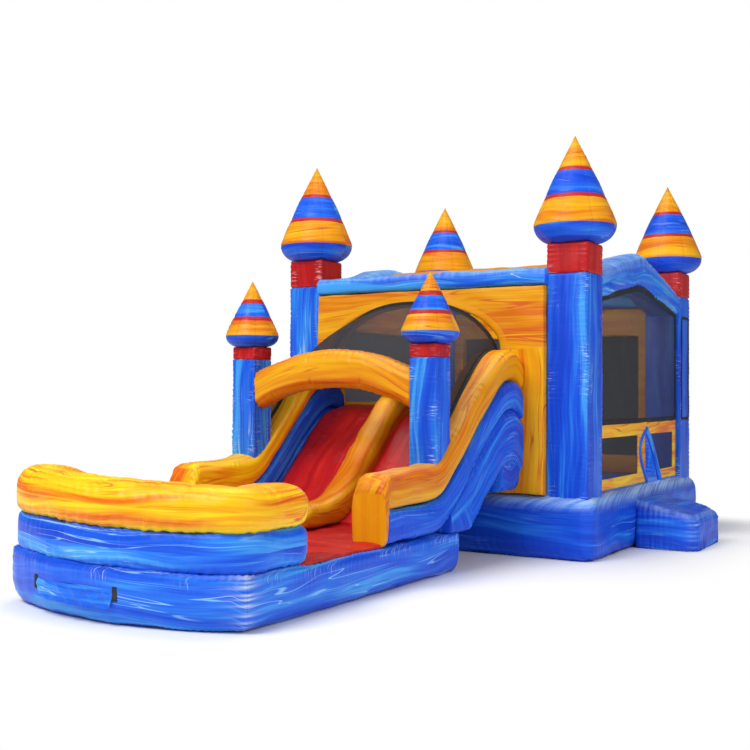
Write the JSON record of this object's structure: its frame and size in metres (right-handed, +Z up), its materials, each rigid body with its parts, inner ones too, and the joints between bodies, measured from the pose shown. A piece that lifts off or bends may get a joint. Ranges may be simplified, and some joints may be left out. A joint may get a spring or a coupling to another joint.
{
  "type": "inflatable bounce house with slide",
  "caption": "Inflatable castle bounce house with pointed corner towers, netted windows, a dual-lane slide under a net hood and a bowed landing pool.",
  "frame": {"origin": "on the ground under the middle of the bounce room's four corner columns", "axes": "+Z up; +Y from the slide to the bounce room, so the slide lies towards -Y; +X out of the entrance"},
  "size_m": [4.8803, 9.4503, 4.5603],
  "materials": {
    "blue_vinyl": "gloss",
    "yellow_vinyl": "gloss",
    "banded_vinyl": "gloss",
    "red_vinyl": "gloss",
    "black_net": "matte",
    "black_webbing": "matte"
  },
  "bodies": {
    "house": {"house_base": "blue_vinyl", "front_beam": "blue_vinyl", "back_beam": "blue_vinyl", "gable_left": "blue_vinyl", "gable_right": "blue_vinyl", "climb_ramp": "blue_vinyl", "entry_step": "blue_vinyl", "slide_base": "blue_vinyl", "pool_wall": "blue_vinyl", "inlet_sleeve": "blue_vinyl", "column_front_left": "blue_vinyl", "column_front_right": "blue_vinyl", "column_back_left": "blue_vinyl", "column_back_right": "blue_vinyl", "side_tube_upper_left": "blue_vinyl", "side_tube_lower_left": "blue_vinyl", "slide_support_left": "blue_vinyl", "slide_column_left": "blue_vinyl", "side_tube_upper_right": "blue_vinyl", "side_tube_lower_right": "blue_vinyl", "slide_support_right": "blue_vinyl", "slide_column_right": "blue_vinyl", "front_wall": "yellow_vinyl", "roof_sheet": "yellow_vinyl", "left_wall": "yellow_vinyl", "back_wall": "yellow_vinyl", "pool_bumper": "yellow_vinyl", "lane_divider": "yellow_vinyl", "rail_left": "yellow_vinyl", "rail_right": "yellow_vinyl", "slide_arch": "yellow_vinyl", "spire_front_left": "banded_vinyl", "spire_front_right": "banded_vinyl", "spire_back_left": "banded_vinyl", "spire_back_right": "banded_vinyl", "slide_spire_left": "banded_vinyl", "slide_spire_right": "banded_vinyl", "landing_floor": "red_vinyl", "slide_lane_left": "red_vinyl", "slide_lane_right": "red_vinyl", "collar_front_left": "red_vinyl", "collar_front_right": "red_vinyl", "collar_back_left": "red_vinyl", "collar_back_right": "red_vinyl", "slide_collar_left": "red_vinyl", "slide_collar_right": "red_vinyl", "left_window_net": "black_net", "back_window_net": "black_net", "right_window_net": "black_net", "canopy_net": "black_net", "ground_sheet": "black_webbing", "net_band": "black_webbing", "banner_strip": "black_webbing", "vent_tab_left": "black_webbing", "vent_tab_right": "black_webbing"},
    "entry_flap_front_body": {"entry_flap_front": "yellow_vinyl", "entry_net_front": "black_net"},
    "entry_flap_rear_body": {"entry_flap_rear": "yellow_vinyl", "entry_net_rear": "black_net"},
    "vent_flap_body": {"vent_flap": "blue_vinyl"}
  },
  "joints": [
    {"name": "entry_flap_front_swing", "type": "hinge", "parent": "house", "child": "entry_flap_front_body", "pos_m": [1.87, 0, 1.4077], "axis": [0, 1, 0], "range_deg": [-75, 75]},
    {"name": "entry_flap_rear_swing", "type": "hinge", "parent": "house", "child": "entry_flap_rear_body", "pos_m": [1.87, 0, 1.4077], "axis": [0, 1, 0], "range_deg": [-75, 75]},
    {"name": "vent_flap_lift", "type": "hinge", "parent": "house", "child": "vent_flap_body", "pos_m": [-0.36, -6.94263, 0.28], "axis": [-0.9969, 0.0783, 0], "range_deg": [0, 120]}
  ]
}
